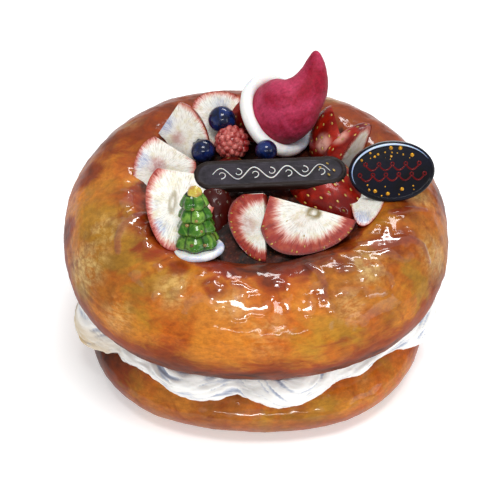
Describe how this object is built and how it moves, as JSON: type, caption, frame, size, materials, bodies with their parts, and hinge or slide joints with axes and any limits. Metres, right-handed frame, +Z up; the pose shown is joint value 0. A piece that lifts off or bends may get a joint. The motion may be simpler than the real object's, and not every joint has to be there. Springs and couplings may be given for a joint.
{
  "type": "christmas cake",
  "caption": "Round christmas cake: a glazed ring bun on a flat bun with whipped cream between, heaped with cut fruit, a sugar hat, a chocolate bar, an oval plaque and a small tree.",
  "frame": {"origin": "middle of the flat base of the lower bun, which is the middle of the bottom of the whole cake's box", "axes": "+Z up; the front of the cake faces -Y and its right side, with the oval plaque, is +X"},
  "size_m": [0.18, 0.18, 0.1324],
  "materials": {
    "glazed_crust": "glazed, mottled golden brown",
    "lower_crust": "glazed, darker brown",
    "cream": "whipped, satin",
    "filling": "moist, dark",
    "strawberry": "moist skin and cut flesh",
    "blueberry": "skin with a light bloom",
    "raspberry": "soft, drupelets",
    "hat_sugar": "mottled sugar",
    "white_sugar": "satin sugar",
    "dark_chocolate": "satin chocolate",
    "blue_glaze": "glossy glaze",
    "green_sugar": "glossy glaze",
    "yellow_sugar": "glossy glaze"
  },
  "bodies": {
    "root": {"bun_top": "glazed_crust", "bun_bottom": "lower_crust", "cream_layer": "cream", "filling": "filling", "strawberry_a": "strawberry", "strawberry_b": "strawberry", "strawberry_c": "strawberry", "strawberry_d": "strawberry", "strawberry_e": "strawberry", "strawberry_f": "strawberry", "strawberry_g": "strawberry", "strawberry_h": "strawberry", "strawberry_i": "strawberry", "strawberry_j": "strawberry", "strawberry_k": "strawberry", "strawberry_l": "strawberry", "strawberry_m": "strawberry", "strawberry_n": "strawberry", "strawberry_o": "strawberry", "blueberry_1": "blueberry", "blueberry_2": "blueberry", "blueberry_3": "blueberry", "blueberry_4": "blueberry", "raspberry": "raspberry", "hat_body": "hat_sugar", "hat_band": "white_sugar", "chocolate_bar": "dark_chocolate", "oval_plaque": "blue_glaze", "tree": "green_sugar", "tree_base": "white_sugar", "tree_tip": "yellow_sugar"}
  },
  "joints": []
}
